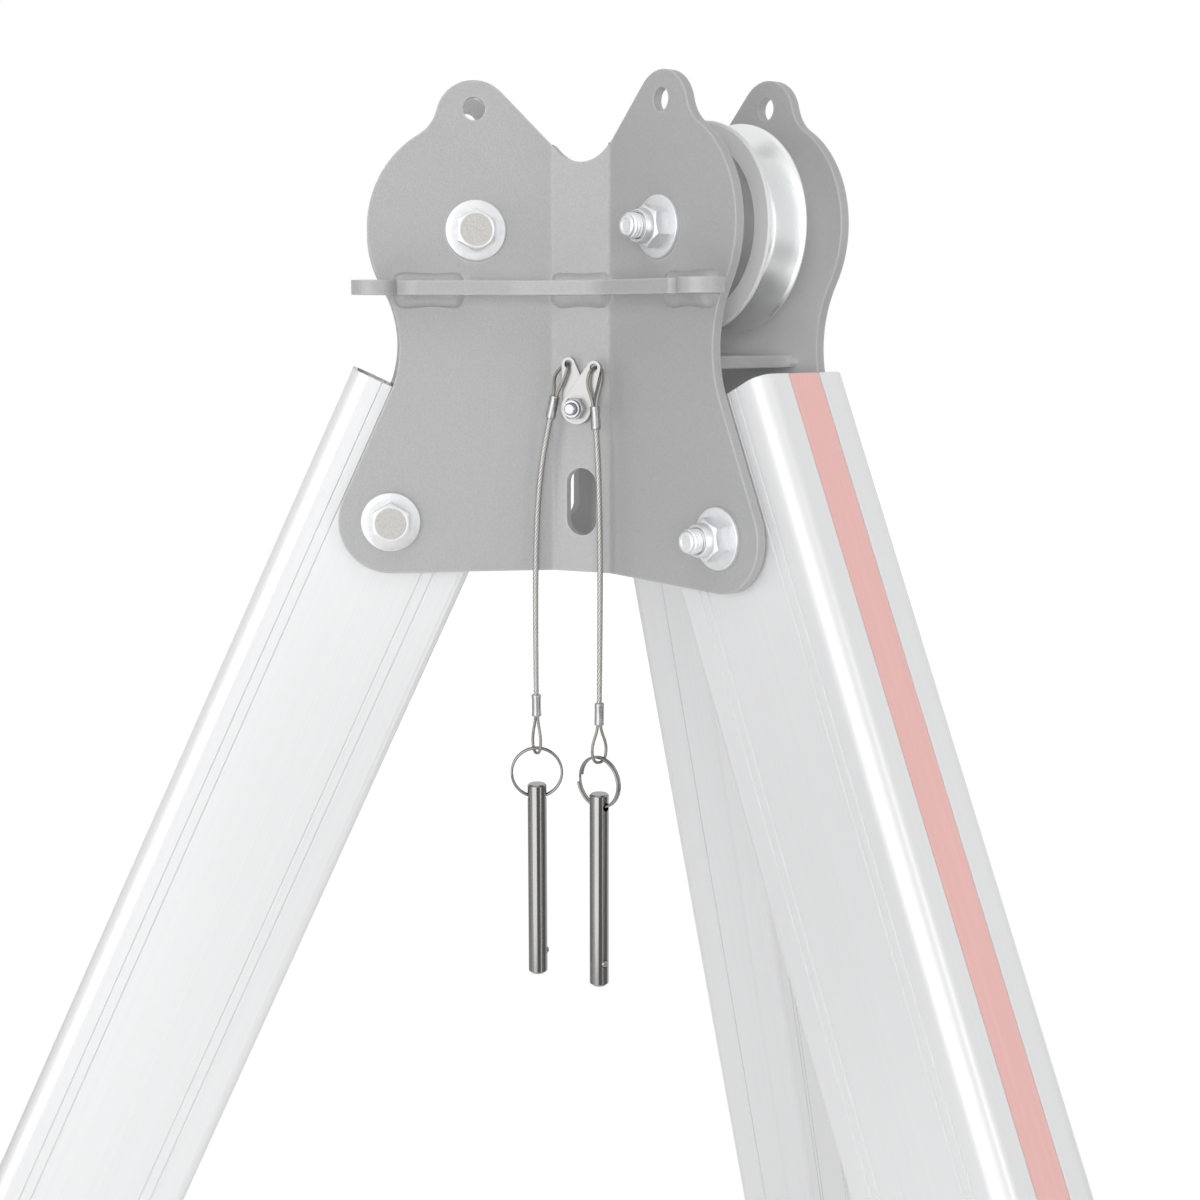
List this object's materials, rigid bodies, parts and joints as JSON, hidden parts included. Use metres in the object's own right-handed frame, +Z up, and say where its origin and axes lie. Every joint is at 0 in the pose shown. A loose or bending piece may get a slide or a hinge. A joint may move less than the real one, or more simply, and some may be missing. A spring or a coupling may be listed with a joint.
{
  "type": "rescue tripod",
  "caption": "Rescue tripod with telescopic legs hinged in a bent-plate head that carries rope pulleys, an anchor shelf and keeper pins hanging on wire lanyards.",
  "frame": {"origin": "on the floor under the middle of the head", "axes": "+Z up; -Y towards the front plate with the lanyards; +X to the right of someone facing that plate"},
  "size_m": [1.4242, 1.2399, 1.6152],
  "materials": {
    "head_paint": "fine-textured powder coat",
    "zinc": "bright zinc plate",
    "tab_steel": "plain stainless sheet",
    "pulley": "turned, polished in the groove",
    "bronze": "plain turned bush",
    "wire_rope": "stranded wire",
    "ferrule": "pressed sleeve",
    "stainless": "ground and polished",
    "tube": "clear satin anodised extrusion",
    "inner_tube": "clear satin anodised extrusion",
    "stripe": "flat strip",
    "bush_plastic": "turned plastic",
    "guide_plastic": "moulded",
    "foot_metal": "satin",
    "pad_rubber": "moulded, grooved underside"
  },
  "bodies": {
    "head": {"front_head_plate": "head_paint", "right_head_plate": "head_paint", "left_head_plate": "head_paint", "channel_webs": "head_paint", "leg_stop_bars": "head_paint", "anchor_shelf": "head_paint", "pulley_axle_bolts": "zinc", "leg_pivot_bolts": "zinc", "lock_nuts": "zinc", "plain_washers": "zinc", "pulley_spacers": "zinc", "left_pulley_bush": "bronze", "right_pulley_bush": "bronze", "tab_bolt": "zinc", "tab_nut": "zinc", "tab_spacer": "zinc", "lanyard_tabs": "tab_steel", "left_lanyard_cable": "wire_rope", "right_lanyard_cable": "wire_rope", "left_lanyard_ferrules": "ferrule", "right_lanyard_ferrules": "ferrule"},
    "left_pulley_wheel": {"left_pulley": "pulley"},
    "right_pulley_wheel": {"right_pulley": "pulley"},
    "left_outer_leg": {"left_leg_tube": "tube", "left_leg_stripe": "stripe", "left_leg_bushes": "bush_plastic", "left_leg_guide": "guide_plastic"},
    "left_sliding_leg": {"left_inner_leg": "inner_tube", "left_foot_yoke": "foot_metal", "left_foot_pin": "zinc"},
    "left_foot": {"left_foot_shoe": "foot_metal", "left_foot_pad": "pad_rubber"},
    "left_lock": {"left_lock_pin": "stainless"},
    "right_outer_leg": {"right_leg_tube": "tube", "right_leg_stripe": "stripe", "right_leg_bushes": "bush_plastic", "right_leg_guide": "guide_plastic"},
    "right_sliding_leg": {"right_inner_leg": "inner_tube", "right_foot_yoke": "foot_metal", "right_foot_pin": "zinc"},
    "right_foot": {"right_foot_shoe": "foot_metal", "right_foot_pad": "pad_rubber"},
    "right_lock": {"right_lock_pin": "stainless"},
    "rear_outer_leg": {"rear_leg_tube": "tube", "rear_leg_stripe": "stripe", "rear_leg_bushes": "bush_plastic", "rear_leg_guide": "guide_plastic"},
    "rear_sliding_leg": {"rear_inner_leg": "inner_tube", "rear_foot_yoke": "foot_metal", "rear_foot_pin": "zinc"},
    "rear_foot": {"rear_foot_shoe": "foot_metal", "rear_foot_pad": "pad_rubber"},
    "rear_lock": {"rear_lock_pin": "stainless"},
    "left_ring": {"left_pin_ring": "stainless"},
    "left_keeper_pin": {"left_pin": "stainless"},
    "left_detent": {"left_pin_ball": "stainless"},
    "right_ring": {"right_pin_ring": "stainless"},
    "right_keeper_pin": {"right_pin": "stainless"},
    "right_detent": {"right_pin_ball": "stainless"}
  },
  "joints": [
    {"name": "left_pulley_spin", "type": "hinge", "parent": "head", "child": "left_pulley_wheel", "pos_m": [-0.0666, -0.03845, 1.54344], "axis": [0.5, -0.866, 0], "continuous": true},
    {"name": "right_pulley_spin", "type": "hinge", "parent": "head", "child": "right_pulley_wheel", "pos_m": [0.0666, -0.03845, 1.54344], "axis": [0.5, 0.866, 0], "continuous": true},
    {"name": "left_leg_fold", "type": "hinge", "parent": "head", "child": "left_outer_leg", "pos_m": [-0.10514, -0.0607, 1.39934], "axis": [0.5, -0.866, 0], "range_deg": [0, 25]},
    {"name": "left_leg_extend", "type": "slide", "parent": "left_outer_leg", "child": "left_sliding_leg", "axis": [-0.366, -0.2113, -0.9063], "range_m": [0, 0.72]},
    {"name": "left_foot_tilt", "type": "hinge", "parent": "left_sliding_leg", "child": "left_foot", "pos_m": [-0.64681, -0.37344, 0.058], "axis": [0.5, -0.866, 0], "range_deg": [-30, 30]},
    {"name": "left_lock_pull", "type": "slide", "parent": "left_outer_leg", "child": "left_lock", "axis": [0.5, -0.866, 0], "range_m": [0, 0.075]},
    {"name": "right_leg_fold", "type": "hinge", "parent": "head", "child": "right_outer_leg", "pos_m": [0.10514, -0.0607, 1.39934], "axis": [0.5, 0.866, 0], "range_deg": [0, 25]},
    {"name": "right_leg_extend", "type": "slide", "parent": "right_outer_leg", "child": "right_sliding_leg", "axis": [0.366, -0.2113, -0.9063], "range_m": [0, 0.72]},
    {"name": "right_foot_tilt", "type": "hinge", "parent": "right_sliding_leg", "child": "right_foot", "pos_m": [0.64681, -0.37344, 0.058], "axis": [0.5, 0.866, 0], "range_deg": [-30, 30]},
    {"name": "right_lock_pull", "type": "slide", "parent": "right_outer_leg", "child": "right_lock", "axis": [0.5, 0.866, 0], "range_m": [0, 0.075]},
    {"name": "rear_leg_fold", "type": "hinge", "parent": "head", "child": "rear_outer_leg", "pos_m": [0, 0.1214, 1.39934], "axis": [-1, 0, 0], "range_deg": [0, 25]},
    {"name": "rear_leg_extend", "type": "slide", "parent": "rear_outer_leg", "child": "rear_sliding_leg", "axis": [0, 0.4226, -0.9063], "range_m": [0, 0.72]},
    {"name": "rear_foot_tilt", "type": "hinge", "parent": "rear_sliding_leg", "child": "rear_foot", "pos_m": [0, 0.74687, 0.058], "axis": [-1, 0, 0], "range_deg": [-30, 30]},
    {"name": "rear_lock_pull", "type": "slide", "parent": "rear_outer_leg", "child": "rear_lock", "axis": [-1, 0, 0], "range_m": [0, 0.075]},
    {"name": "left_ring_swing", "type": "hinge", "parent": "head", "child": "left_ring", "pos_m": [-0.0215, -0.05994, 1.28064], "axis": [1, 0, 0], "range_deg": [-40, 40]},
    {"name": "left_pin_swing", "type": "hinge", "parent": "left_ring", "child": "left_keeper_pin", "pos_m": [-0.0215, -0.05994, 1.25509], "axis": [0.9135, 0.4067, 0], "range_deg": [-20, 20]},
    {"name": "left_ball_press", "type": "slide", "parent": "left_keeper_pin", "child": "left_detent", "axis": [-0.9848, -0.1736, 0], "range_m": [0, 0.0009], "stiffness_N_per_m": 200, "springref_m": -0.001},
    {"name": "right_ring_swing", "type": "hinge", "parent": "head", "child": "right_ring", "pos_m": [0.0135, -0.05991, 1.27904], "axis": [1, 0, 0], "range_deg": [-40, 40]},
    {"name": "right_pin_swing", "type": "hinge", "parent": "right_ring", "child": "right_keeper_pin", "pos_m": [0.0135, -0.05991, 1.25349], "axis": [0.9494, -0.314, 0], "range_deg": [-20, 20]},
    {"name": "right_ball_press", "type": "slide", "parent": "right_keeper_pin", "child": "right_detent", "axis": [-0.866, 0.5, 0], "range_m": [0, 0.0009], "stiffness_N_per_m": 200, "springref_m": -0.001}
  ]
}
